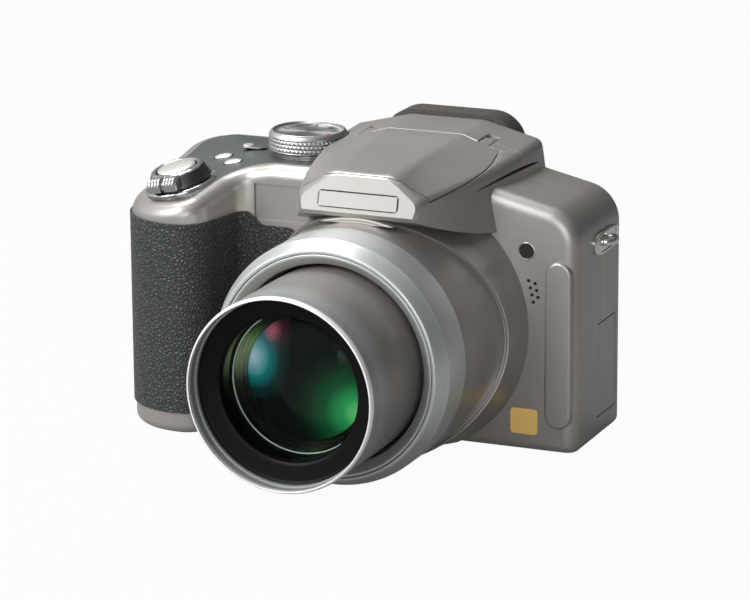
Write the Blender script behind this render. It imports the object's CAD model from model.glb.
# %% [markdown]
# # A bridge camera, built around its CAD frame
# The frame brings every solid piece of the camera in metres, with the lens looking along -Y.
# This notebook gives those pieces their finishes, and replaces the ones whose real surface is
# finer than a CAD solid: knurling, ridges, glass and the rings of the lens.

# %% Load the frame
import math
import bmesh
import bpy
import numpy as np
from mathutils import Matrix, Vector


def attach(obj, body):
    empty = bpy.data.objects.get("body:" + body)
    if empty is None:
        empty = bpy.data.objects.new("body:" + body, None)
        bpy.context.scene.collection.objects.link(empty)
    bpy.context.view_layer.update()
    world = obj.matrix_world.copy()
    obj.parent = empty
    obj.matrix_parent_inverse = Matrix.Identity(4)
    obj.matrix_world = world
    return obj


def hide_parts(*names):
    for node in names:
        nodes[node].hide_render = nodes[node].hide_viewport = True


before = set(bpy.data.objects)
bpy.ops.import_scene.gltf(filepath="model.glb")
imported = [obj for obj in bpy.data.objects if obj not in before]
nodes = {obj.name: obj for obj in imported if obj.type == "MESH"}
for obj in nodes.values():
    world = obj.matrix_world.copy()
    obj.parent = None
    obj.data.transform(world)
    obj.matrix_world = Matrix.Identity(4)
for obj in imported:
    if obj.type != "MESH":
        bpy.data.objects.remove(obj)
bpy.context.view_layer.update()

MM = 0.001
LENS_Z = 30.6
print("CAD nodes:", len(nodes))

# %% [markdown]
# Colours are written as the hex values a screen shows. Blender works with linear light, so one
# function turns them. Another adds a shader node with its settings and links in one line.

# %% Colours and nodes
def colour(code):
    """sRGB hex code to linear red, green, blue and alpha: the usual two-part sRGB curve."""
    value = np.array([int(code[i:i + 2], 16) for i in (0, 2, 4)]) / 255
    linear = np.where(value > 0.04045, ((value + 0.055) / 1.055) ** 2.4, value / 12.92)
    return (*[float(channel) for channel in linear], 1.0)


def add(tree, kind, inputs=None, **settings):
    """A new node of this kind with its settings, its inputs given as values or as links."""
    made = tree.nodes.new(kind)
    for name, value in settings.items():
        setattr(made, name, value)
    for name, value in (inputs or {}).items():
        if isinstance(value, bpy.types.NodeSocket):
            tree.links.new(value, made.inputs[name])
        else:
            made.inputs[name].default_value = value
    return made


def new_material(name, **values):
    """A material with one Principled shader, and that shader and its tree."""
    made = bpy.data.materials.new(name)
    made.use_nodes = True
    tree = made.node_tree
    shader = tree.nodes["Principled BSDF"]
    for key, value in values.items():
        shader.inputs[key.replace("_", " ")].default_value = value
    made.diffuse_color = shader.inputs["Base Color"].default_value
    return made, tree, shader


def place(tree, scale_mm):
    """Object coordinates in units of a real size in millimetres."""
    coords = add(tree, "ShaderNodeTexCoord").outputs["Object"]
    size = [1 / (scale_mm * MM)] * 3
    return add(tree, "ShaderNodeMapping", {"Vector": coords, "Scale": size}).outputs["Vector"]


def noise(tree, scale_mm, detail=2.0):
    """A smooth noise pattern from 0 to 1 whose blobs are about this large."""
    return add(tree, "ShaderNodeTexNoise", {"Vector": place(tree, scale_mm), "Scale": 1.0,
                                            "Detail": detail}).outputs["Fac"]


def total(tree, first, second):
    """The sum of two patterns."""
    return add(tree, "ShaderNodeMath", {0: first, 1: second}, operation="ADD").outputs["Value"]


def blended(tree, share, start, end, way="MIX"):
    """Two colours mixed: start where the share is 0, end where it is 1. The way ADD adds them.
    Sockets 6 and 7 are the colours of the Mix node, which has others of the same names."""
    return add(tree, "ShaderNodeMix", {"Factor": share, 6: start, 7: end}, data_type="RGBA",
               blend_type=way).outputs[2]


def bumped(tree, shader, height, depth_mm, strength=1.0):
    """Joins a height pattern to the shader as a bump of this depth."""
    bump = add(tree, "ShaderNodeBump", {"Height": height, "Distance": depth_mm * MM,
                                        "Strength": strength})
    tree.links.new(bump.outputs["Normal"], shader.inputs["Normal"])


def spread(tree, source, low, high):
    """A 0 to 1 pattern spread between two values."""
    return add(tree, "ShaderNodeMapRange", {"Value": source, "To Min": low,
                                            "To Max": high}).outputs["Result"]


def tinted(tree, factor, stops):
    """Colours along a 0 to 1 pattern, as (place, hex code) stops."""
    ramp = add(tree, "ShaderNodeValToRGB", {"Fac": factor})
    elements = ramp.color_ramp.elements
    for element, (spot, code) in zip(elements, (stops[0], stops[-1])):
        element.position, element.color = spot, colour(code)
    for spot, code in stops[1:-1]:
        elements.new(spot).color = colour(code)
    return ramp.outputs["Color"]


print("helpers ready")

# %% [markdown]
# Finishes change from place to place. Two functions mark a place on the camera from its
# coordinates: one a thin band, the other a soft step.

# %% Places on the camera
def near(tree, axis, place_mm, half_mm):
    """1 where this object coordinate is within half_mm of a place, else 0. Axis R is the
    distance from the lens axis, sqrt(x^2 + (z - LENS_Z)^2)."""
    coords = add(tree, "ShaderNodeTexCoord").outputs["Object"]
    if axis == "R":
        flat = add(tree, "ShaderNodeVectorMath", {0: coords, 1: (1, 0, 1)},
                   operation="MULTIPLY").outputs["Vector"]
        value = add(tree, "ShaderNodeVectorMath", {0: flat, 1: (0, 0, LENS_Z * MM)},
                    operation="DISTANCE").outputs["Value"]
    else:
        value = add(tree, "ShaderNodeSeparateXYZ", {"Vector": coords}).outputs[axis]
    return add(tree, "ShaderNodeMath", {0: value, 1: place_mm * MM, 2: half_mm * MM},
               operation="COMPARE").outputs["Value"]


def faded(tree, axis, from_mm, to_mm):
    """0 before from_mm, 1 beyond to_mm, and a smooth step between."""
    coords = add(tree, "ShaderNodeTexCoord").outputs["Object"]
    value = add(tree, "ShaderNodeSeparateXYZ", {"Vector": coords}).outputs[axis]
    return add(tree, "ShaderNodeMapRange", {"Value": value, "From Min": from_mm * MM,
                                            "From Max": to_mm * MM},
               interpolation_type="SMOOTHSTEP").outputs["Result"]


print("place helpers ready")

# %% [markdown]
# The body is plastic under a warm metallic paint. Fine metal flakes make it glitter a little,
# so they vary the roughness and the brightness and barely disturb the surface. Paint wears or
# gathers dirt in thin lines: at the seam of the shell, at the rim of the lens neck and round
# the plate on the brow. The barrel fades to a cooler tone at its front.

# %% Metallic body paint
FLAKE_MM, WAVE_MM = 0.16, 30


def metallic_paint(name, dark, light, rough=0.38, metal=0.7, lines=(), line_tone="ded9d2",
                   fade=None):
    """Warm metallic paint: flake noise moves colour and roughness, long waves move the colour.
    Lines are places (axis, mm, half width) where the paint is worn or shaded in a thin line.
    Fade is (axis, from mm, to mm, hex code), another tone that gives way to the paint."""
    made, tree, shader = new_material(name, Metallic=metal, Roughness=rough,
                                      Coat_Weight=0.12, Coat_Roughness=0.22)
    flakes = noise(tree, FLAKE_MM)
    mixed = total(tree, spread(tree, flakes, -0.22, 0.22), noise(tree, WAVE_MM))
    paint = tinted(tree, mixed, [(0.3, dark), (0.7, light)])
    if fade:
        paint = blended(tree, faded(tree, *fade[:3]), colour(fade[3]), paint)
    for line in lines:
        paint = blended(tree, near(tree, *line), paint, colour(line_tone))
    tree.links.new(paint, shader.inputs["Base Color"])
    tree.links.new(spread(tree, flakes, rough - 0.06, rough + 0.08), shader.inputs["Roughness"])
    bumped(tree, shader, flakes, 0.004, 0.35)
    return made


TITANIUM = ("9f9b97", "aba7a3")
SEAM_LINES = [("Y", 3.8, 0.16), ("R", 31.62, 0.18), ("R", 30.86, 0.12)]
PLATE_BORDER = [("X", -10.5, 0.3), ("X", 10.5, 0.3), ("Z", 64.43, 0.28), ("Z", 68.46, 0.28)]
body_paint = metallic_paint("warm_metallic_paint", *TITANIUM)
shell_paint = metallic_paint("warm_metallic_paint_with_worn_seam", *TITANIUM, lines=SEAM_LINES)
plate_paint = metallic_paint("bare_plate_with_dark_border", *TITANIUM, lines=PLATE_BORDER,
                             line_tone="26221e")
sleeve_paint = metallic_paint("sleeve_metallic_paint", "949190", "a09d9a")
barrel_paint = metallic_paint("barrel_satin_paint", "857f7b", "918b87", rough=0.4, metal=0.5,
                              fade=("Y", -83.5, -75.0, "9fa3a2"))
panel_paint = metallic_paint("dark_panel_paint", "565b59", "646967", rough=0.36, metal=0.6)
print("paints:", body_paint.name, sleeve_paint.name, barrel_paint.name, panel_paint.name)

# %% [markdown]
# The grip is moulded rubber with a leather-like grain. Voronoi cells about 1 mm wide give the
# pebbles, and two noises bend the cells and roughen them.

# %% Pebbled rubber
WARP_MM, FINE_MM, RUBBER_ROUGH = 2.2, 0.35, 0.46


def grained_rubber(name, dark, light, grain_mm, depth_mm):
    """Rubber with rounded pebbles: height is the distance from the edge of a Voronoi cell,
    flattened towards its middle, plus a little noise. Edge creases are darker and duller."""
    made, tree, shader = new_material(name, Roughness=RUBBER_ROUGH)
    warp = add(tree, "ShaderNodeTexNoise", {"Vector": place(tree, WARP_MM), "Scale": 1.0,
                                            "Detail": 3.0})
    shifted = add(tree, "ShaderNodeVectorMath", {0: place(tree, grain_mm),
                                                 1: warp.outputs["Color"]}, operation="ADD")
    cells = add(tree, "ShaderNodeTexVoronoi", {"Vector": shifted.outputs["Vector"],
                                               "Scale": 1.0},
                feature="DISTANCE_TO_EDGE").outputs["Distance"]
    pebble = add(tree, "ShaderNodeMapRange", {"Value": cells, "From Min": 0.0, "From Max": 0.32},
                 interpolation_type="SMOOTHSTEP").outputs["Result"]
    height = total(tree, pebble, spread(tree, noise(tree, FINE_MM), -0.12, 0.12))
    tree.links.new(tinted(tree, height, [(0.05, dark), (0.6, light)]), shader.inputs["Base Color"])
    tree.links.new(spread(tree, height, RUBBER_ROUGH + 0.1, RUBBER_ROUGH - 0.14),
                   shader.inputs["Roughness"])
    bumped(tree, shader, height, depth_mm)
    return made


grip_rubber = grained_rubber("pebbled_grip_rubber", "222625", "383d3b", 1.0, 0.2)
cup_rubber = grained_rubber("eyecup_rubber", "3e3a36", "4a4641", 0.35, 0.02)
print("rubbers:", grip_rubber.name, cup_rubber.name)

# %% [markdown]
# Metal trim: satin anodised aluminium that was turned on a lathe, polished chrome, and black
# anodising. Turning leaves fine rings round the lens axis, drawn here 0.25 mm apart so that
# they show.

# %% Ways of working metal
RING_MM = 0.25              # from one turned ring to the next
LENS_POINT = (0, 0, LENS_Z * MM)


def turned_metal(name, tone, rough, metal):
    """Turned metal: bump and roughness follow the distance from the lens, in rings."""
    made, tree, shader = new_material(name, Metallic=metal, Roughness=rough,
                                      Base_Color=colour(tone))
    coords = add(tree, "ShaderNodeTexCoord").outputs["Object"]
    moved = add(tree, "ShaderNodeMapping", {"Vector": coords, "Location": [-c for c in LENS_POINT]})
    rings = add(tree, "ShaderNodeTexWave", {"Vector": moved.outputs["Vector"],
                                            "Scale": 1 / (RING_MM * MM * 6.28),
                                            "Distortion": 0.6, "Detail": 2.0},
                wave_type="RINGS", rings_direction="SPHERICAL").outputs["Fac"]
    tree.links.new(spread(tree, rings, rough - 0.02, rough + 0.03), shader.inputs["Roughness"])
    bumped(tree, shader, rings, 0.003, 0.08)
    return made


def brushed_round(name, tone, rough):
    """Spun metal: anisotropic, its tangent round the axis from the grid's own layout."""
    made, tree, shader = new_material(name, Metallic=1.0, Roughness=rough, Anisotropic=0.75,
                                      Base_Color=colour(tone))
    tangent = add(tree, "ShaderNodeTangent", direction_type="UV_MAP", uv_map="grid")
    tree.links.new(tangent.outputs["Tangent"], shader.inputs["Tangent"])
    tree.links.new(spread(tree, noise(tree, 0.12), rough - 0.05, rough + 0.08),
                   shader.inputs["Roughness"])
    return made


def plain_metal(name, tone, rough, metal=1.0):
    """Metal whose roughness wanders a little, as handling and polishing leave it."""
    made, tree, shader = new_material(name, Metallic=metal, Roughness=rough,
                                      Base_Color=colour(tone))
    wear = noise(tree, 0.4, detail=4.0)
    tree.links.new(spread(tree, wear, rough * 0.8, rough * 1.25), shader.inputs["Roughness"])
    bumped(tree, shader, wear, 0.002, 0.25)
    return made


print("metal helpers ready")

# %% [markdown]
# The metals themselves. Two of them are paints: the rim of the barrel is bright only at its
# front edge, and the ring in the funnel only at its inner edge.

# %% Metals
trim_metal = turned_metal("turned_satin_aluminium", "c6cbca", 0.4, 0.72)
rim_metal = metallic_paint("bright_rim_edge", "8f9392", "9b9f9e", rough=0.36, metal=0.4,
                           fade=("Y", -87.9, -86.7, "f6f6f3"))
step_edge = metallic_paint("black_ring_with_bright_edge", "0c0d0d", "121414", metal=0.2,
                           lines=[("R", 17.2, 0.14)], line_tone="c2cac6")
spun_metal = brushed_round("spun_dial_metal", "b4b6b5", 0.3)
chrome = plain_metal("polished_chrome", "d4d3d0", 0.12)
satin_metal = plain_metal("satin_silver_metal", "a9aaa8", 0.3)
dark_metal = plain_metal("dark_satin_metal", "5c6160", 0.34)
button_metal = plain_metal("bright_button_metal", "e4e3e0", 0.3, metal=0.7)
black_metal = plain_metal("black_anodised_metal", "17191a", 0.38, metal=0.6)
brass_metal = plain_metal("machined_brass", "b08d4e", 0.3)
steel_metal = plain_metal("zinc_plated_steel", "8e9090", 0.4)
print("metals ready")

# %% [markdown]
# Moulded ABS has a fine texture from its eroded mould, and gloss parts are nearly smooth.

# %% Plastics
def moulded_plastic(name, tone, rough, depth_mm=0.012, mirror=0.5):
    """Injection-moulded plastic with a fine eroded grain."""
    made, tree, shader = new_material(name, Roughness=rough, Base_Color=colour(tone),
                                      Specular_IOR_Level=mirror)
    grain = noise(tree, 0.3, detail=3.0)
    tree.links.new(spread(tree, grain, rough - 0.05, rough + 0.07), shader.inputs["Roughness"])
    bumped(tree, shader, grain, depth_mm, 0.5)
    return made


black_plastic = moulded_plastic("black_moulded_plastic", "121314", 0.42)
ring_black = moulded_plastic("black_ring_lacquer", "050606", 0.42, depth_mm=0.001, mirror=0.12)
grey_plastic = moulded_plastic("warm_grey_moulded_plastic", "4b4743", 0.42)
key_plastic = moulded_plastic("grey_key_plastic", "6d6862", 0.36)
screen_plastic = moulded_plastic("black_screen_window", "08090a", 0.06, depth_mm=0.0003)
amber_plastic = moulded_plastic("amber_badge_enamel", "ffd27c", 0.26, depth_mm=0.002)
board_plastic = moulded_plastic("green_circuit_board", "1d5a35", 0.45)
wrap_plastic = moulded_plastic("grey_cell_wrap", "3b3d42", 0.35)
red_print = moulded_plastic("red_mark_print", "b3283a", 0.4)
dark_print = moulded_plastic("dark_mark_print", "24272a", 0.45)
print("plastics ready")

# %% [markdown]
# The front glass is clear. Behind it the coating of the second element shows green, blue and
# pink, and the funnel round it a dull green, each as soft spots on a nearly black surface.

# %% Glass
def clear_glass(name, tone, ior, rough=0.0):
    """Clear polished glass with a faint tint. A coating takes away nearly all of the mirror
    image, and a low index imitates that."""
    return new_material(name, Base_Color=colour(tone), IOR=ior, Roughness=rough,
                        Transmission_Weight=1.0)[0]


front_glass = clear_glass("coated_front_glass", "e6f0ea", 1.08)
window_glass = clear_glass("clear_acrylic_window", "f2f2ee", 1.49, 0.05)


def sheen_surface(name, centre, radius_mm, base_code, spots, glow, **values):
    """Dark surface with soft coloured spots, each (dx, dz, reach, stops) in shares of the
    radius from the centre: colour by distance, and a share of it as glow, since a coating
    sends light back that comes from bright lamps in front."""
    made, tree, shader = new_material(name, Emission_Strength=glow, **values)
    coords = add(tree, "ShaderNodeTexCoord").outputs["Object"]
    tint = colour(base_code)
    for dx, dz, reach, stops in spots:
        spot = [c + d * radius_mm * MM for c, d in zip(centre, (dx, 0, dz))]
        away = add(tree, "ShaderNodeVectorMath", {0: coords, 1: spot}, operation="DISTANCE")
        close = add(tree, "ShaderNodeMapRange", {"Value": away.outputs["Value"], "From Min": 0,
                                                 "From Max": reach * radius_mm * MM,
                                                 "To Min": 1, "To Max": 0}).outputs["Result"]
        tint = blended(tree, 1.0, tint, tinted(tree, close, stops), "ADD")
    tree.links.new(tint, shader.inputs["Base Color"])
    tree.links.new(tint, shader.inputs["Emission Color"])
    return made


GREEN = [(0.0, "000000"), (0.25, "03150b"), (0.5, "0a3a20"), (0.75, "1f7a45"), (1.0, "66b96f")]
CYAN = [(0.0, "000000"), (0.3, "031c1e"), (0.55, "0d5a5f"), (0.75, "5c8894"), (1.0, "a3a8bd")]
PINK = [(0.0, "000000"), (0.5, "30101c"), (1.0, "a04a62")]
GREY = [(0.0, "000000"), (0.4, "14170f"), (1.0, "70745f")]
OLIVE = [(0.0, "000000"), (0.5, "121a0c"), (1.0, "3c5a2c")]
SHEEN_AHEAD, COATED_RADIUS, FUNNEL_SHEEN_RADIUS = 72.5, 13.8, 17.0
sheen_centre = (0, -SHEEN_AHEAD * MM, LENS_Z * MM)
second_coating = sheen_surface("multi_coated_glass", sheen_centre, COATED_RADIUS, "040706", [
    (1.0, -0.55, 1.25, GREEN), (-1.0, 0.3, 0.85, CYAN), (-0.62, 0.78, 0.42, PINK)], 0.55,
    Roughness=0.06, Specular_IOR_Level=0.1)
funnel_black = sheen_surface("black_funnel_sheen", sheen_centre, FUNNEL_SHEEN_RADIUS, "050606", [
    (-1.05, 0.28, 0.7, GREY), (-0.75, 0.45, 0.5, OLIVE), (0.2, -1.15, 0.4, OLIVE)], 0.5,
    Roughness=0.5, Specular_IOR_Level=0.15)
lamp_glass = moulded_plastic("dark_lamp_lens", "1d120e", 0.1, depth_mm=0.0005)
print("glass ready")

# %% [markdown]
# A CAD node comes in as loose triangles. Its mesh stays as it is, so a small geometry node
# group joins the triangles and smooths them, but keeps edges sharp where two faces meet at
# more than 30 degrees.

# %% Smoothing group
def smoothing_group(name, angle):
    """Merge by distance, shade faces smooth, then leave edges over the angle sharp."""
    tree = bpy.data.node_groups.new(name, "GeometryNodeTree")
    tree.interface.new_socket("Geometry", in_out="INPUT", socket_type="NodeSocketGeometry")
    tree.interface.new_socket("Geometry", in_out="OUTPUT", socket_type="NodeSocketGeometry")
    start = add(tree, "NodeGroupInput").outputs[0]
    merged = add(tree, "GeometryNodeMergeByDistance", {"Geometry": start,
                                                       "Distance": 0.002 * MM}).outputs[0]
    smooth = add(tree, "GeometryNodeSetShadeSmooth", {"Geometry": merged,
                                                      "Shade Smooth": True}).outputs[0]
    turn = add(tree, "GeometryNodeInputMeshEdgeAngle").outputs["Unsigned Angle"]
    sharp = add(tree, "FunctionNodeCompare", {0: turn, 1: math.radians(angle)},
                data_type="FLOAT", operation="GREATER_THAN").outputs["Result"]
    edged = add(tree, "GeometryNodeSetShadeSmooth", {"Geometry": smooth, "Selection": sharp,
                                                     "Shade Smooth": False}, domain="EDGE")
    add(tree, "NodeGroupOutput", {0: edged.outputs[0]})
    return tree


soft_edges = smoothing_group("join_and_smooth", 30)


def finish_piece(piece, material):
    """Gives a piece its material and the smoothing group."""
    piece.data.materials.clear()
    piece.data.materials.append(material)
    piece.modifiers.new("smooth", "NODES").node_group = soft_edges


print("smoothing group:", soft_edges.name)

# %% [markdown]
# Every CAD node gets one finish. This also holds for nodes that finer pieces replace further
# down, so that nothing is bare if a piece is left out.

# %% Finishes of the CAD nodes
finishes = {
    body_paint: ["rear_cover", "flash_lid", "terminal_cover"],
    shell_paint: ["front_shell"],
    plate_paint: ["brow_plate"],
    sleeve_paint: ["lens_housing"],
    panel_paint: ["top_panel"],
    grip_rubber: ["grip_skin", "thumb_pad"],
    cup_rubber: ["eyecup"],
    trim_metal: ["trim_ring"],
    black_metal: ["barrel_bezel", "base_plate"],
    barrel_paint: ["zoom_barrel"],
    rim_metal: ["barrel_rim"],
    ring_black: ["name_ring"],
    front_glass: ["front_lens"],
    chrome: ["strap_lugs", "shutter_seat"],
    satin_metal: ["cam_ring", "mode_dial", "dial_collar"],
    dark_metal: ["zoom_lever"],
    button_metal: ["shutter_button", "focus_button", "drive_button"],
    black_plastic: ["guide_sleeve", "variator_cell", "focus_cell", "image_sensor",
                    "viewfinder_display", "power_switch", "joystick", "memory_card"],
    second_coating: ["variator_lens", "focus_lens"],
    brass_metal: ["focus_screw", "zoom_pinion"],
    steel_metal: ["chassis_frame", "tripod_socket", "case_screws", "drive_motors"],
    window_glass: ["flash_window", "flash_tube", "eyepiece_lens"],
    screen_plastic: ["lcd_window"],
    grey_plastic: ["battery_door", "diopter_wheel"],
    key_plastic: ["flash_release", "cursor_pad", "set_button", "display_button",
                  "delete_button", "lock_button", "playback_switch"],
    amber_plastic: ["badge"],
    lamp_glass: ["af_lamp"],
    board_plastic: ["main_board"],
    wrap_plastic: ["battery", "flash_capacitor"],
}
for material, names in finishes.items():
    for name in names:
        finish_piece(nodes[name], material)
print("finished nodes:", sum(len(names) for names in finishes.values()), "of", len(nodes))

# %% [markdown]
# New pieces are grids of points. A grid has one direction along a profile and one round or
# across it, and either may close on itself.

# %% Grids to meshes
def grid_piece(name, points, material, body, replaced, wrap):
    """A mesh from points of shape (rows, columns, 3) in metres, its doubles merged and its
    faces turned outwards. It rides on a moving body, takes the place of the CAD nodes in
    replaced, and wrap says whether its rows and its columns close on themselves."""
    rows, columns, _ = points.shape
    index = np.arange(rows * columns).reshape(rows, columns)
    if wrap[0]:
        index = np.vstack([index, index[:1]])
    if wrap[1]:
        index = np.hstack([index, index[:, :1]])
    quads = np.stack([index[:-1, :-1], index[1:, :-1], index[1:, 1:], index[:-1, 1:]], -1)
    quads = quads.reshape(-1, 4)
    mesh = bpy.data.meshes.new(name)
    mesh.from_pydata(points.reshape(-1, 3).tolist(), [], quads.tolist())
    down, across = np.divmod(np.arange(len(quads)), index.shape[1] - 1)
    corners = np.stack([across + [[0], [0], [1], [1]], down + [[0], [1], [1], [0]]], -1)
    layout = corners.transpose(1, 0, 2) / (index.shape[1] - 1, index.shape[0] - 1)
    mesh.uv_layers.new(name="grid").data.foreach_set("uv", layout.ravel())
    shape = bmesh.new()
    shape.from_mesh(mesh)
    bmesh.ops.remove_doubles(shape, verts=shape.verts, dist=0.001 * MM)
    bmesh.ops.dissolve_degenerate(shape, edges=shape.edges, dist=0.0005 * MM)
    bmesh.ops.recalc_face_normals(shape, faces=shape.faces)
    shape.to_mesh(mesh)
    shape.free()
    piece = bpy.data.objects.new(name, mesh)
    bpy.context.scene.collection.objects.link(piece)
    finish_piece(piece, material)
    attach(piece, body)
    if replaced:
        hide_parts(*replaced)
    print(name, "faces:", len(mesh.polygons))


print("grids ready")

# %% [markdown]
# Most fine parts are turned on a lathe. A profile of heights and radii, with its corners
# rounded, is swept round an axis.

# %% Turned surfaces
LENS_ORIGIN = (0, 0, LENS_Z)
AHEAD = (0, -1, 0)


def axis_frame(axis):
    """Unit vectors (out, side, axis): out is the X direction made square to the axis."""
    axis = np.array(axis, float) / np.linalg.norm(axis)
    out = np.array([1.0, 0, 0]) - axis[0] * axis
    out /= np.linalg.norm(out)
    return out, np.cross(axis, out), axis


def turned_points(profile, origin, axis, steps=192):
    """Profile of (height, radius) in mm swept round an axis: origin + height along the axis
    + radius times the turning direction."""
    out, side, along = axis_frame(axis)
    profile = np.array(profile, float)
    turn = np.linspace(0, 2 * np.pi, steps, endpoint=False)
    ring = np.cos(turn)[:, None] * out + np.sin(turn)[:, None] * side
    points = profile[:, 0, None, None] * along + profile[:, 1, None, None] * ring[None]
    return (np.array(origin, float) + points) * MM


def rounded_profile(corners, steps=5):
    """Corner points (height, radius, rounding) with each corner replaced by a short curve: a
    quadratic blend between the points where the rounding starts and ends."""
    corners = np.array(corners, float)
    count = len(corners)
    result = []
    for i in range(count):
        here, size = corners[i, :2], corners[i, 2]
        before, after = corners[i - 1, :2], corners[(i + 1) % count, :2]
        if size == 0:
            result.append(here[None])
            continue
        start = here + (before - here) * min(0.5, size / np.linalg.norm(before - here))
        end = here + (after - here) * min(0.5, size / np.linalg.norm(after - here))
        t = np.linspace(0, 1, steps)[:, None]
        result.append((1 - t) ** 2 * start + 2 * t * (1 - t) * here + t ** 2 * end)
    return np.vstack(result)


def lens_ring(name, corners, material, body, replaced):
    """A closed ring turned about the lens axis from rounded corners."""
    points = turned_points(rounded_profile(corners), LENS_ORIGIN, AHEAD)
    grid_piece(name, points, material, body, replaced, wrap=(True, True))


print("surface helpers ready")

# %% [markdown]
# The rings of the lens are the roundest things on the camera, and their edges catch the light
# in thin bright lines. Each is a profile with small rounded corners, turned in 192 steps.

# %% Trim ring and bezel
lens_ring("trim_ring_turned", [
    (47.4, 28.2, 0), (47.4, 30.6, 0.2), (57.6, 30.6, 0.5), (58.2, 30.25, 0.3),
    (60.8, 29.2, 0.7), (62.0, 28.6, 0.4), (62.0, 27.7, 0.2), (56.6, 27.7, 0), (56.6, 28.2, 0),
], trim_metal, "case", ["trim_ring"])
lens_ring("barrel_bezel_turned", [
    (56.6, 25.15, 0), (56.6, 27.55, 0.1), (61.9, 27.55, 0.25), (61.9, 26.9, 0.3),
    (59.8, 24.75, 0.3), (57.2, 24.75, 0.2), (57.2, 25.15, 0),
], trim_metal, "case", ["barrel_bezel"])
print("fixed rings ready")

# %% [markdown]
# The rim and the name ring close the front of the barrel. The name ring is a shallow black
# cone that leads the eye to the glass.

# %% Bright rim and name ring
lens_ring("barrel_rim_turned", [
    (84.35, 22.6, 0), (84.35, 23.8, 0.05), (87.6, 23.8, 0.25), (88.5, 23.45, 0.35),
    (88.5, 23.05, 0.15), (84.9, 23.03, 0.1), (84.9, 22.6, 0),
], rim_metal, "barrel", ["barrel_rim"])
lens_ring("name_ring_turned", [
    (84.2, 22.58, 0.1), (83.6, 22.0, 0.3), (82.9, 18.2, 0.4), (82.4, 17.6, 0.3),
    (80.7, 17.6, 0.1), (80.7, 21.3, 0), (78.9, 21.3, 0), (78.9, 22.58, 0),
], ring_black, "barrel", ["name_ring"])
print("barrel rings ready")

# %% [markdown]
# Behind the name ring stands the front glass, clear. Its faces are shallow bowls, whose height
# falls with the square of the radius.

# %% Front glass
GLASS_RADIUS, GLASS_AHEAD, GLASS_CROWN = 19.5, 79.85, 3.2
GLASS_BACK_AHEAD, GLASS_BACK_CROWN = 77.4, 0.9


def bowl(edge_ahead, crown, radius):
    """Profile of a lens face from its middle to its edge: ahead = edge + crown * (1 - share^2),
    where share is the radius as a share of the full one."""
    share = np.linspace(0, 1, 25)
    return np.stack([edge_ahead + crown * (1 - share ** 2), radius * share], 1)


glass_profile = np.vstack([bowl(GLASS_AHEAD, GLASS_CROWN, GLASS_RADIUS),
                           bowl(GLASS_BACK_AHEAD, GLASS_BACK_CROWN, GLASS_RADIUS)[::-1]])
grid_piece("front_element", turned_points(glass_profile, LENS_ORIGIN, AHEAD), front_glass,
           "barrel", ["front_lens"], wrap=(False, True))

# %% [markdown]
# Behind the glass a black funnel with seven fine steps keeps stray light out, and a ring stands
# in it. The edge of this ring is the thin light line in the dark.

# %% Funnel against stray light
STEP_COUNT, STEP_DEEP, STEP_NARROWER = 7, 0.9, 0.66
FUNNEL_AHEAD, FUNNEL_RADIUS, FUNNEL_OUTSIDE = 77.0, 19.4, 21.2
THROAT_AHEAD, THROAT_RADIUS, FUNNEL_END = 70.9, 15.1, 69.8
step_index = np.repeat(np.arange(STEP_COUNT), 2)
steps_down = np.stack([FUNNEL_AHEAD - STEP_DEEP * step_index[1:],
                       FUNNEL_RADIUS - STEP_NARROWER * step_index[:-1]], 1)
funnel_profile = np.vstack([
    [[FUNNEL_AHEAD, FUNNEL_OUTSIDE]], steps_down,
    [[THROAT_AHEAD, THROAT_RADIUS], [FUNNEL_END, THROAT_RADIUS], [FUNNEL_END, FUNNEL_OUTSIDE]]])
grid_piece("light_baffle", turned_points(funnel_profile, LENS_ORIGIN, AHEAD), funnel_black,
           "barrel", [], wrap=(True, True))
lens_ring("retaining_ring", [(75.3, 17.1, 0.05), (75.3, 18.2, 0), (75.55, 18.2, 0),
                             (75.55, 17.1, 0.05)], step_edge, "barrel", [])

# %% [markdown]
# A smaller element closes the throat of the funnel. Its coating gives the green, blue and pink
# that the lens shows.

# %% Coated second element
SECOND_RADIUS, SECOND_AHEAD, SECOND_CROWN, SECOND_BACK = 15.0, 71.6, 3.0, 70.2
second_profile = np.vstack([bowl(SECOND_AHEAD, SECOND_CROWN, SECOND_RADIUS),
                            [[SECOND_BACK, SECOND_RADIUS], [SECOND_BACK, 0.0]]])
grid_piece("second_element", turned_points(second_profile, LENS_ORIGIN, AHEAD), second_coating,
           "barrel", [], wrap=(False, True))

# %% [markdown]
# The mode dial is a knurled wheel with a dished top. Three rows of small pyramids are pressed
# into its side so that a thumb can turn it, and the dish was spun on a lathe, which leaves
# fine rings that throw bright fans of light.

# %% Knurled mode dial
DIAL = (-32.0, 1.6, 67.9)
TEETH, STEPS_PER_TOOTH, KNURL_DEPTH = 54, 8, 0.42
KNURL_FOOT, KNURL_TOP, KNURL_RADIUS, KNURL_STEPS, PYRAMID_ROWS = 0.3, 3.3, 10.15, 37, 3
low_rows = np.array([(0.0, 0.0), (0.0, 9.5), (0.15, 9.85)])
knurl_rows = np.stack([np.linspace(KNURL_FOOT, KNURL_TOP, KNURL_STEPS),
                       np.full(KNURL_STEPS, KNURL_RADIUS)], 1)
top_rows = np.array([(3.4, 9.75), (3.55, 9.95), (3.75, 10.0), (4.35, 9.72), (4.75, 9.42),
                     (4.88, 9.2), (4.88, 8.98), (4.8, 8.85), (4.25, 8.72), (4.12, 8.5),
                     (4.1, 7.0), (4.1, 4.0), (4.1, 0.0)])
profile = np.vstack([low_rows, knurl_rows, top_rows])
dial_steps = TEETH * STEPS_PER_TOOTH
turn = np.arange(dial_steps) / STEPS_PER_TOOTH
row = np.clip(profile[:, 0] - KNURL_FOOT, 0, PYRAMID_ROWS - 1e-6)
shift = 0.5 * (np.floor(row).astype(int) % 2)
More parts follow.
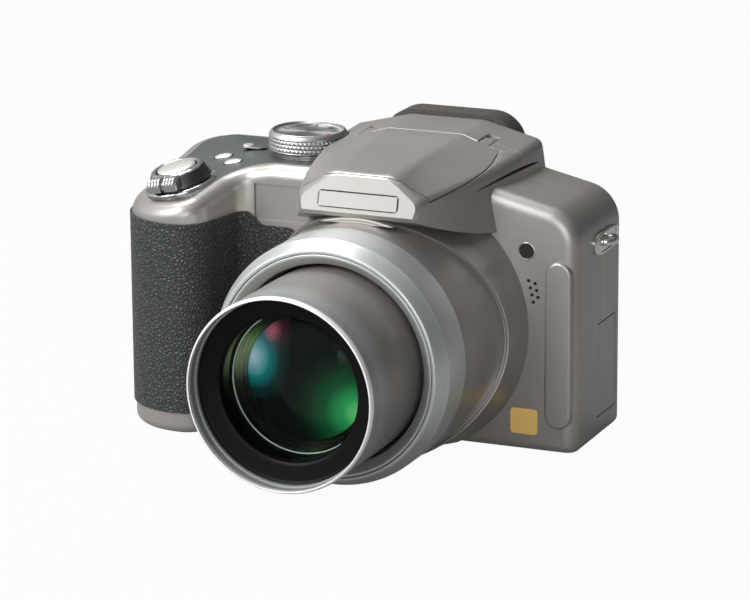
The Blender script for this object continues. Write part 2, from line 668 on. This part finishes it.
across = np.abs(2 * ((turn[None] + shift[:, None]) % 1) - 1)
along = np.abs(2 * (row % 1) - 1)[:, None]
pressed = np.maximum(across, along)
pressed[:len(low_rows)] = 0
pressed[len(low_rows) + KNURL_STEPS:] = 0
spin = np.arange(dial_steps) / dial_steps * 2 * np.pi
radius = profile[:, 1, None] - KNURL_DEPTH * pressed
dial_points = np.stack([DIAL[0] + radius * np.cos(spin), DIAL[1] + radius * np.sin(spin),
                        DIAL[2] + np.repeat(profile[:, :1], dial_steps, 1)], -1) * MM
grid_piece("mode_dial_knurled", dial_points, spun_metal, "dial", ["mode_dial"],
           wrap=(False, True))

# %% [markdown]
# Plain bars round the dish mark the settings, one of them in red. They ride on the dial, so
# they turn with it.

# %% Marks on the dial
MARK_LIFT = 4.13            # above the foot of the dial, just over its dish


def bar_marks(name, places, material, body):
    """Thin printed bars on the dish: (angle, inner radius, outer radius, width) each, a grid
    of 2 by 2 points lifted 0.03 mm, all in one mesh."""
    places = np.array(places, float)
    angle = np.radians(places[:, 0])[:, None]
    reach = places[:, [1, 2, 2, 1]]
    half = places[:, 3, None] / 2 * np.array([[-1, -1, 1, 1]])
    x = DIAL[0] + reach * np.cos(angle) - half * np.sin(angle)
    y = DIAL[1] + reach * np.sin(angle) + half * np.cos(angle)
    corners = np.stack([x, y, np.full_like(x, DIAL[2] + MARK_LIFT)], -1)
    mesh = bpy.data.meshes.new(name)
    mesh.from_pydata((corners.reshape(-1, 3) * MM).tolist(), [],
                     np.arange(corners.shape[0] * 4).reshape(-1, 4).tolist())
    piece = bpy.data.objects.new(name, mesh)
    bpy.context.scene.collection.objects.link(piece)
    piece.data.materials.append(material)
    thick = piece.modifiers.new("print", "SOLIDIFY")
    thick.thickness = 0.02 * MM
    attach(piece, body)
    print(name, "bars:", len(places))


dark_marks = [(spot, 5.9, 7.9, 0.55) for spot in (20, 96, 168, 206, 276, 316)]
dark_marks += [(spot + turned_by, 6.1, 7.7, 0.4) for spot in (58, 132, 242)
               for turned_by in (-4, 4)]
bar_marks("dial_marks", dark_marks, dark_print, "dial")
bar_marks("dial_red_mark", [(350, 5.6, 8.1, 1.1)], red_print, "dial")

# %% [markdown]
# The collar under the dial stays still. Three ribs go round it, all made from one short run of
# corner points.

# %% Ribbed collar
COLLAR_Z, COLLAR_BORE, COLLAR_GROOVE, COLLAR_RIB, COLLAR_HEIGHT = 66.4, 1.9, 9.0, 9.28, 1.2
collar_rows = [(0.0, COLLAR_BORE, 0), (0.0, COLLAR_GROOVE, 0)]
for level in (0.05, 0.45, 0.85):
    collar_rows += [(level, COLLAR_GROOVE, 0), (level + 0.07, COLLAR_RIB, 0.03),
                    (level + 0.26, COLLAR_RIB, 0.03), (level + 0.33, COLLAR_GROOVE, 0)]
collar_rows += [(COLLAR_HEIGHT, COLLAR_GROOVE, 0), (COLLAR_HEIGHT, COLLAR_BORE, 0)]
collar_points = turned_points(rounded_profile(collar_rows, 3), (DIAL[0], DIAL[1], COLLAR_Z),
                              (0, 0, 1))
grid_piece("dial_collar_ribbed", collar_points, satin_metal, "case", ["dial_collar"],
           wrap=(True, True))

# %% [markdown]
# The shutter button stands in the zoom lever, on a top that slopes to the grip. All its parts
# are turned about the normal of that slope.

# %% Shutter button, zoom lever and seat
FALL_LEFT, FALL_FRONT = 0.2, 0.18       # of the top, in mm for each mm to the side and ahead
TOP_POINT = (-54.0, -15.0, 62.1)
upward = np.array([-FALL_LEFT, -FALL_FRONT, 1.0])
SLOPE_UP = upward / np.linalg.norm(upward)


def slope_point(x, y):
    """The point of the sloping top over (x, y)."""
    return np.array([x, y, TOP_POINT[2] + FALL_LEFT * (x - TOP_POINT[0])
                     + FALL_FRONT * (y - TOP_POINT[1])])


SHUTTER = slope_point(-58.0, -18.8)
slope_across, slope_back, _ = axis_frame(SLOPE_UP)


def slope_turned(name, corners, material, body, replaced):
    """A closed ring turned about the shutter's axis from rounded corners."""
    points = turned_points(rounded_profile(corners), SHUTTER, SLOPE_UP, 128)
    grid_piece(name, points, material, body, replaced, wrap=(True, True))


slope_turned("shutter_seat_turned", [
    (0.02, 1.6, 0), (0.02, 9.2, 0), (0.45, 9.2, 0.2), (0.8, 8.85, 0.15), (0.8, 8.6, 0.1),
    (0.3, 8.45, 0), (0.3, 1.6, 0)], chrome, "case", ["shutter_seat"])
slope_turned("zoom_lever_skirt", [
    (1.1, 5.32, 0), (1.1, 8.1, 0), (1.3, 8.35, 0.15), (4.2, 6.75, 0.1), (4.2, 5.32, 0)],
    dark_metal, "lever", ["zoom_lever"])
slope_turned("zoom_lever_ring", [
    (4.2, 5.32, 0), (4.2, 6.72, 0.05), (4.45, 6.72, 0.12), (4.72, 6.3, 0.25),
    (4.72, 5.6, 0.2), (4.45, 5.32, 0.1)], chrome, "lever", [])
bow = np.linspace(1, 0, 14)
button_rows = np.vstack([[[2.4, 0.0], [2.4, 4.95], [4.6, 4.95]],
                         np.stack([4.72 + 0.62 * np.sqrt(1 - bow ** 2), 4.88 * bow], 1)])
grid_piece("shutter_button_domed", turned_points(button_rows, SHUTTER, SLOPE_UP, 96),
           button_metal, "shutter", ["shutter_button"], wrap=(False, True))

# %% [markdown]
# The lever's tab is ribbed so that a fingertip does not slip. Its section, a rounded block, is
# carried along the tab and shrunk towards its middle: by a wave for the ribs, more at the
# notch between its halves, and a little at the ends.

# %% Ribbed tab of the zoom lever
RIBS, TAB_HALF, RIB_DEPTH = 10, 4.15, 0.14
NOTCH_HALF, NOTCH_DEPTH, END_START, END_SHARE = 0.42, 0.8, 3.7, 0.6
rib_x = np.linspace(-TAB_HALF, TAB_HALF, RIBS * 8 + 1)
section = rounded_profile([(-9.85, 1.5, 0.3), (-9.9, 3.9, 0.8), (-8.7, 4.85, 1.0),
                           (-6.5, 4.9, 0.2), (-6.5, 1.5, 0)], 6)
middle = np.array([-8.0, 3.0])
sunk = RIB_DEPTH * np.abs(np.cos(np.pi * (rib_x + TAB_HALF) / (2 * TAB_HALF) * RIBS))
sunk = np.where(np.abs(rib_x) < NOTCH_HALF, NOTCH_DEPTH, sunk)
sunk = sunk + END_SHARE * np.clip(np.abs(rib_x) - END_START, 0, 1)
reach = np.linalg.norm(section - middle, axis=1)[:, None]
shrunk = middle + (section - middle)[:, None] * ((reach - sunk[None]) / reach)[..., None]
caps = np.broadcast_to(middle, (len(section), 1, 2))
tab_xy = np.concatenate([caps, shrunk, caps], 1)
tab_x = np.concatenate([[rib_x[0]], rib_x, [rib_x[-1]]])
tab_points = (SHUTTER + tab_x[None, :, None] * slope_across
              + tab_xy[..., :1] * slope_back + tab_xy[..., 1:] * SLOPE_UP) * MM
grid_piece("zoom_lever_tab", tab_points, satin_metal, "lever", [],
           wrap=(True, False))

# %% [markdown]
# Small domed buttons have the outline of a stadium. Every row of the grid is that outline
# shrunk towards the middle, and the height falls off near the rim.

# %% Oval buttons
CAP_STEPS, CAP_ROWS = 72, 12


def domed_cap(name, origin, axis, length, width, rise, depth, material, body, replaced):
    """Stadium outline scaled by a share from the rim to the middle. The dome's height is
    rise * (0.35 + 0.65 * (1 - share^3)), over a side that goes depth below the origin."""
    out, side, along = axis_frame(axis)
    angle = np.linspace(0, 2 * np.pi, CAP_STEPS, endpoint=False)
    straight = (length - width) / 2
    outline = np.stack([width / 2 * np.cos(angle) + straight * np.sign(np.cos(angle)),
                        width / 2 * np.sin(angle)], 1)
    dome = np.linspace(1, 0, CAP_ROWS)
    share = np.concatenate([[0, 1, 1], dome])
    height = np.concatenate([[-depth, -depth, 0.25 * rise],
                             0.35 * rise + 0.65 * rise * (1 - dome ** 3)])
    points = (np.array(origin, float) + share[:, None, None] * (
        outline[None, :, :1] * out + outline[None, :, 1:] * side)
        + height[:, None, None] * along) * MM
    grid_piece(name, points, material, body, replaced, wrap=(False, True))


for node, body, x, y in (("focus_button", "focus_key", -54.0, -2.2),
                         ("drive_button", "drive_key", -49.0, -7.2)):
    domed_cap(node + "_domed", slope_point(x, y), SLOPE_UP, 4.8, 2.7, 0.72, 1.6, button_metal,
              body, [node])

# %% [markdown]
# The power switch slides: a low oval plate with a small round knob, whose side has twenty
# grooves made by a cosine round it.

# %% Power slider
SLIDER = (-47.4, 1.4, 66.7)
KNOB_X, KNOB_Z, KNOB_GROOVES, GROOVE_DEPTH, KNOB_STEPS = -48.6, 66.72, 20, 0.07, 120
domed_cap("power_slider_plate", SLIDER, (0, 0, 1), 6.3, 3.0, 0.3, 0.0, satin_metal,
          "power", ["power_switch"])
ribs = np.linspace(0, 2 * np.pi, KNOB_STEPS, endpoint=False)
knob_rows = np.array([(0.0, 0.0), (0.0, 1.35), (0.25, 1.4), (0.5, 1.4), (0.64, 1.25), (0.68, 1.0),
                      (0.62, 0.7), (0.62, 0.0)])
knob_radius = knob_rows[:, 1, None] - GROOVE_DEPTH * (knob_rows[:, 1, None] > 1.2) * (
    0.5 + 0.5 * np.cos(KNOB_GROOVES * ribs))
knob_points = np.stack([KNOB_X + knob_radius * np.cos(ribs),
                        SLIDER[1] + knob_radius * np.sin(ribs),
                        KNOB_Z + np.repeat(knob_rows[:, :1], KNOB_STEPS, 1)], -1) * MM
grid_piece("power_slider_knob", knob_points, button_metal, "power", [],
           wrap=(False, True))

# %% [markdown]
# The lamp that helps the camera focus has a thin bright rim on the front of the body.

# %% Lamp rim
LAMP = (33.5, 0, 51.0)
lamp_corners = [(14.9, 1.82, 0), (15.0, 1.82, 0.02), (15.12, 2.0, 0.06), (15.02, 2.22, 0.03),
                (14.9, 2.22, 0)]
grid_piece("lamp_rim", turned_points(rounded_profile(lamp_corners, 4), LAMP, AHEAD, 72),
           satin_metal, "case", [], wrap=(True, True))

# %% [markdown]
# The strap lug is a plate with a D-shaped loop of thick wire. The loop is an oval tube: an
# ellipse carried along a superellipse that starts and ends in the plate.

# %% Strap lugs
LOOP_ROOT, LOOP_REACH, LOOP_HALF, LOOP_POWER = 0.3, 2.6, 3.25, 0.7
WIRE_HALF_THICK, WIRE_HALF_HIGH = 0.5, 0.85
PLATE_HALF_HIGH, PLATE_POWER = 2.9, 0.6


def lug_loop(side, wall_x, y, z):
    """An ellipse, the wire, carried along x = wall + LOOP_ROOT + LOOP_REACH * |sin t|^0.7,
    y = -LOOP_HALF * cos t, with its ends drawn together to points."""
    t = np.linspace(0, np.pi, 49)
    bend = np.abs(np.sin(t)) ** LOOP_POWER
    path = np.stack([wall_x + side * (LOOP_ROOT + LOOP_REACH * bend), y - LOOP_HALF * np.cos(t),
                     np.full_like(t, z)], 1)
    along = np.gradient(path, axis=0)
    along /= np.linalg.norm(along, axis=1)[:, None]
    out = np.cross(along, (0, 0, 1))
    angle = np.linspace(0, 2 * np.pi, 24, endpoint=False)
    ring = (WIRE_HALF_THICK * np.cos(angle)[:, None, None] * out[None]
            + WIRE_HALF_HIGH * np.sin(angle)[:, None, None] * np.array([0, 0, 1.0]))
    tube = path[None] + ring
    ends = np.repeat(path[[0, -1]][None], len(angle), 0)
    return np.concatenate([ends[:, :1], tube, ends[:, 1:]], 1) * MM


def lug_plate(side, wall_x, y, z, length):
    """Rounded plate: the superellipse sign(cos) |cos|^0.6, sign(sin) |sin|^0.6, shrunk over a
    low dome with a dish in its middle."""
    angle = np.linspace(0, 2 * np.pi, 96, endpoint=False)
    outline = np.stack([
        np.sign(np.cos(angle)) * np.abs(np.cos(angle)) ** PLATE_POWER * length / 2,
        np.sign(np.sin(angle)) * np.abs(np.sin(angle)) ** PLATE_POWER * PLATE_HALF_HIGH], 1)
    share = np.array([0, 1, 1, 0.97, 0.9, 0.8, 0.78, 0.0])
    height = np.array([0, 0, 0.5, 0.75, 0.88, 0.9, 0.6, 0.6])
    rows = share[:, None, None] * outline[None]
    x = np.broadcast_to(wall_x + side * height[:, None], rows.shape[:2])
    return np.stack([x, y + rows[..., 0], z + rows[..., 1]], -1) * MM


for tag, side, wall_x, y, z, length in (("right", -1, -70.2, 6.0, 50.0, 8.0),
                                        ("left", 1, 46.8, 4.6, 50.6, 16.8)):
    grid_piece("lug_plate_" + tag, lug_plate(side, wall_x, y, z, length), chrome, "case",
               ["strap_lugs"], wrap=(False, True))
    grid_piece("lug_loop_" + tag, lug_loop(side, wall_x, y, z), chrome, "case", [],
               wrap=(True, False))

# %% [markdown]
# The camera matches the photograph: 23 degrees round from the front, 15 degrees up, from
# 0.9 m away with a long lens.

# %% Camera at the photograph's angle
azimuth, elevation, roll = math.radians(23.23), math.radians(15.27), math.radians(-0.37)
FOCAL_PX, DISTANCE, PICTURE_PX, SENSOR_MM = 3800.8, 904.33, 750, 36
aim_px, centre_px = np.array([323.79, 367.14]), np.array([375.0, 300.0])
aim = np.array([0, -62.0, LENS_Z])
back_way = np.array([math.sin(azimuth) * math.cos(elevation),
                     -math.cos(azimuth) * math.cos(elevation), math.sin(elevation)])
right_way = np.array([math.cos(azimuth), math.sin(azimuth), 0])
up_way = np.cross(back_way, right_way)
right_way, up_way = (math.cos(roll) * right_way + math.sin(roll) * up_way,
                     -math.sin(roll) * right_way + math.cos(roll) * up_way)
aside = (aim_px - centre_px) * (DISTANCE / FOCAL_PX) * (1, -1)
stand = aim - aside[0] * right_way - aside[1] * up_way + DISTANCE * back_way
eye = bpy.data.cameras.new("photo_camera")
eye.sensor_width = SENSOR_MM
eye.lens = FOCAL_PX * SENSOR_MM / PICTURE_PX
eye.clip_end = 100
camera = bpy.data.objects.new("photo_camera", eye)
bpy.context.scene.collection.objects.link(camera)
turned = Matrix([right_way, up_way, back_way]).transposed().to_4x4()
camera.matrix_world = Matrix.Translation(Vector(stand * MM)) @ turned
bpy.context.scene.camera = camera
print("camera at", [round(float(c) * MM, 3) for c in stand])

# %% [markdown]
# A pale floor and large soft lamps, as in a product studio. The camera sees a white room. To
# the surfaces of the object its walls are lighter up and to the left than to the right, as
# where a photographer stands dark boards beside a shiny object, so round forms get a light
# and a dark side.

# %% Who sees white
FLOOR_REACH, FLOOR_Z = 12.0, -0.0002
CAMERA_SHARE = 0.96         # of pure white that the camera sees on the floor
GLOSSY_SHARE = 0.1          # of that white which shiny surfaces see as well


def white_share(tree):
    """1 for rays from the camera and through glass, GLOSSY_SHARE for mirrored rays, else 0."""
    rays = add(tree, "ShaderNodeLightPath")
    direct = add(tree, "ShaderNodeMath", {0: rays.outputs["Is Camera Ray"],
                                          1: rays.outputs["Is Transmission Ray"]},
                 operation="MAXIMUM").outputs["Value"]
    shiny = add(tree, "ShaderNodeMath", {0: rays.outputs["Is Glossy Ray"], 1: GLOSSY_SHARE},
                operation="MULTIPLY").outputs["Value"]
    return add(tree, "ShaderNodeMath", {0: direct, 1: shiny}, operation="MAXIMUM").outputs["Value"]


print("ray shares:", CAMERA_SHARE, GLOSSY_SHARE)

# %% [markdown]
# The floor mixes plain grey paint, which takes the camera's shadow, with that white.

# %% Floor
floor_mesh = bpy.data.meshes.new("studio_floor")
floor_mesh.from_pydata([(x * FLOOR_REACH, y * FLOOR_REACH, FLOOR_Z)
                        for x, y in ((-1, -1), (1, -1), (1, 1), (-1, 1))], [], [(0, 1, 2, 3)])
floor = bpy.data.objects.new("studio_floor", floor_mesh)
bpy.context.scene.collection.objects.link(floor)
floor_paint, floor_tree, floor_shader = new_material("white_floor", Roughness=0.9,
                                                     Base_Color=colour("8c8c8c"))
glow = add(floor_tree, "ShaderNodeEmission", {"Color": (1, 1, 1, 1), "Strength": 1.0})
share = add(floor_tree, "ShaderNodeMath", {0: white_share(floor_tree), 1: CAMERA_SHARE},
            operation="MULTIPLY")
mixed = add(floor_tree, "ShaderNodeMixShader", {0: share.outputs[0], 1: floor_shader.outputs[0],
                                                2: glow.outputs[0]})
floor_tree.links.new(mixed.outputs[0], floor_tree.nodes["Material Output"].inputs["Surface"])
floor.data.materials.append(floor_paint)
print("floor ready")

# %% [markdown]
# The room's walls get their tone from the direction alone, dark at the lower right and white
# at the upper left.

# %% Room
LIGHT_SIDE = (-0.62, -0.3, 0.55)
world = bpy.data.worlds.new("studio_room")
world.use_nodes = True
bpy.context.scene.world = world
room = world.node_tree
heading = add(room, "ShaderNodeTexCoord").outputs["Generated"]
side_way = add(room, "ShaderNodeVectorMath", {0: heading, 1: LIGHT_SIDE},
               operation="DOT_PRODUCT").outputs["Value"]
shade = add(room, "ShaderNodeMapRange", {"Value": side_way, "From Min": -0.8, "From Max": 0.85})
walls = tinted(room, shade.outputs["Result"], [(0.0, "121212"), (0.45, "3a3a3a"),
                                               (0.75, "a4a4a4"), (1.0, "ffffff")])
tone = blended(room, white_share(room), walls, (1, 1, 1, 1))
room.links.new(tone, room.nodes["Background"].inputs["Color"])
print("room ready")

# %% [markdown]
# A key lamp stands high at the left, a weaker one over the back, and a large weak one low in
# front fills the right side. Power is in watts and places in metres.

# %% Lamps
LIT_PLACE = Vector((0, -0.02, 0.03))


def soft_lamp(name, spot, size, watts):
    """A square softbox at a spot, turned towards the middle of the object."""
    lamp = bpy.data.lights.new(name, "AREA")
    lamp.size = size
    lamp.energy = watts
    holder = bpy.data.objects.new(name, lamp)
    bpy.context.scene.collection.objects.link(holder)
    away = Vector(spot) - LIT_PLACE
    aimed = away.to_track_quat("Z", "Y").to_matrix().to_4x4()
    holder.matrix_world = Matrix.Translation(Vector(spot)) @ aimed


soft_lamp("key_softbox", (-0.55, -0.72, 0.78), 0.75, 12.5)
soft_lamp("top_softbox", (-0.35, 0.2, 0.85), 0.35, 4.5)
soft_lamp("front_softbox", (0.3, -1.0, 0.25), 0.6, 3.4)
print("studio ready")

# %% [markdown]
# Last, colours are shown as they are, and the sizes of the CAD and of the finished camera are
# written side by side for checking.

# %% Sizes and finish
bpy.context.scene.view_settings.view_transform = "Standard"
